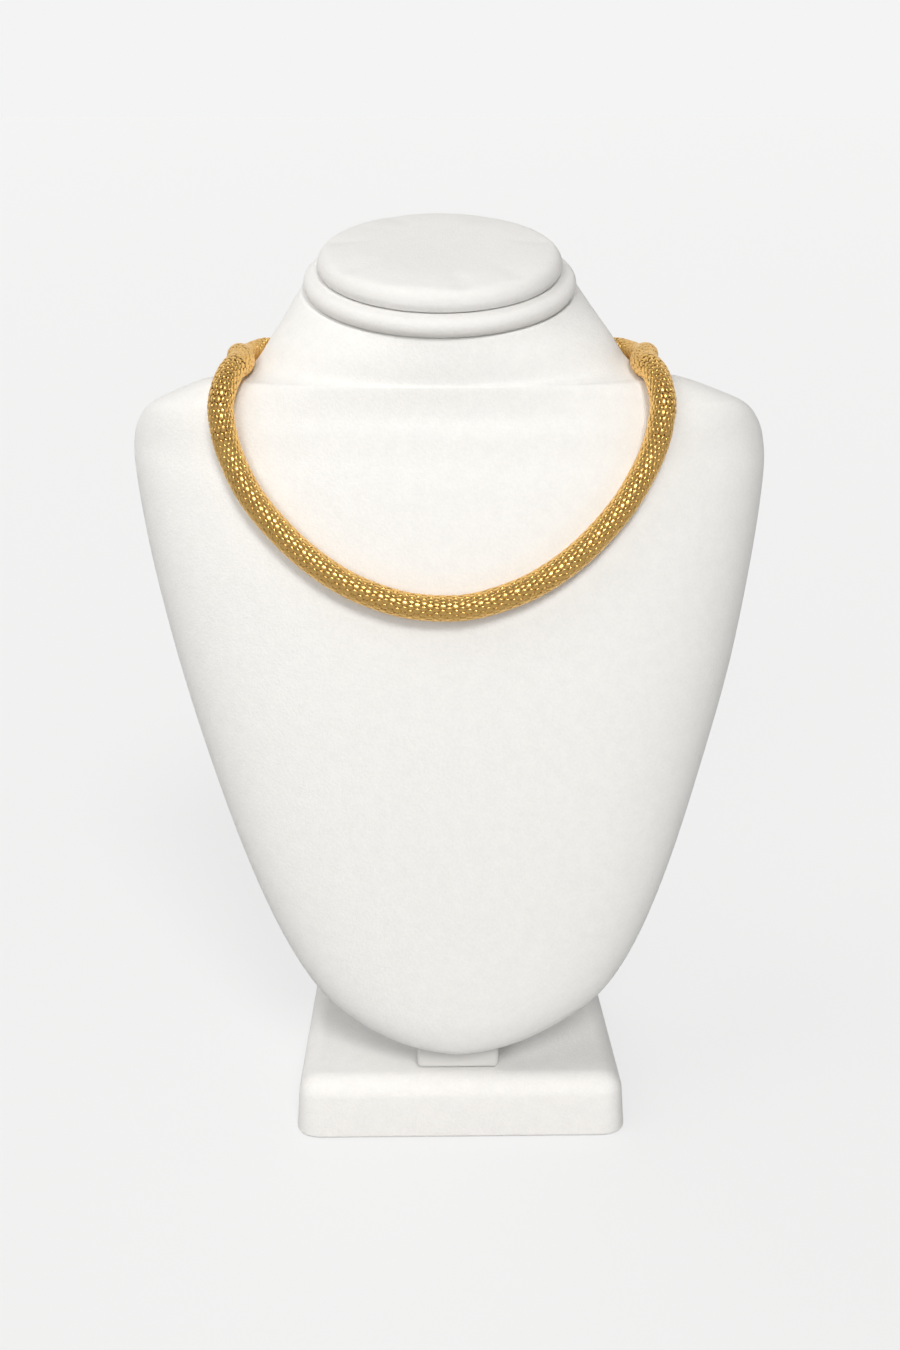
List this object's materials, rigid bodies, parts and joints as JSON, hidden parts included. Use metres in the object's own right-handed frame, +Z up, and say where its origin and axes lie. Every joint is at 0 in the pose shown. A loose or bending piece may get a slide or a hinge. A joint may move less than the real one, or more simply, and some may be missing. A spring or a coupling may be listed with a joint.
{
  "type": "snake chain necklace on a neck display bust",
  "caption": "Round mesh snake chain necklace in gold tone, closed by a plain barrel clasp, lying on a white velvet neck display bust with a padded cap, a short post and a flat base.",
  "frame": {"origin": "middle of the base's underside, on the surface that the stand rests on", "axes": "+Z up, -Y towards the front of the chest, +X towards the bust's own left shoulder"},
  "size_m": [0.1957, 0.107, 0.2857],
  "materials": {
    "chain_gold": "bright gold plate",
    "clasp_gold": "polished gold plate",
    "bust_cover": "short white velvet",
    "cap_cover": "short white velvet over padding",
    "post_white": "matt white",
    "base_cover": "short white velvet"
  },
  "bodies": {
    "root": {"chain_tube": "chain_gold", "clasp": "clasp_gold", "bust_form": "bust_cover", "neck_ring": "cap_cover", "neck_pad": "cap_cover", "stand_post": "post_white", "base_block": "base_cover"}
  },
  "joints": []
}
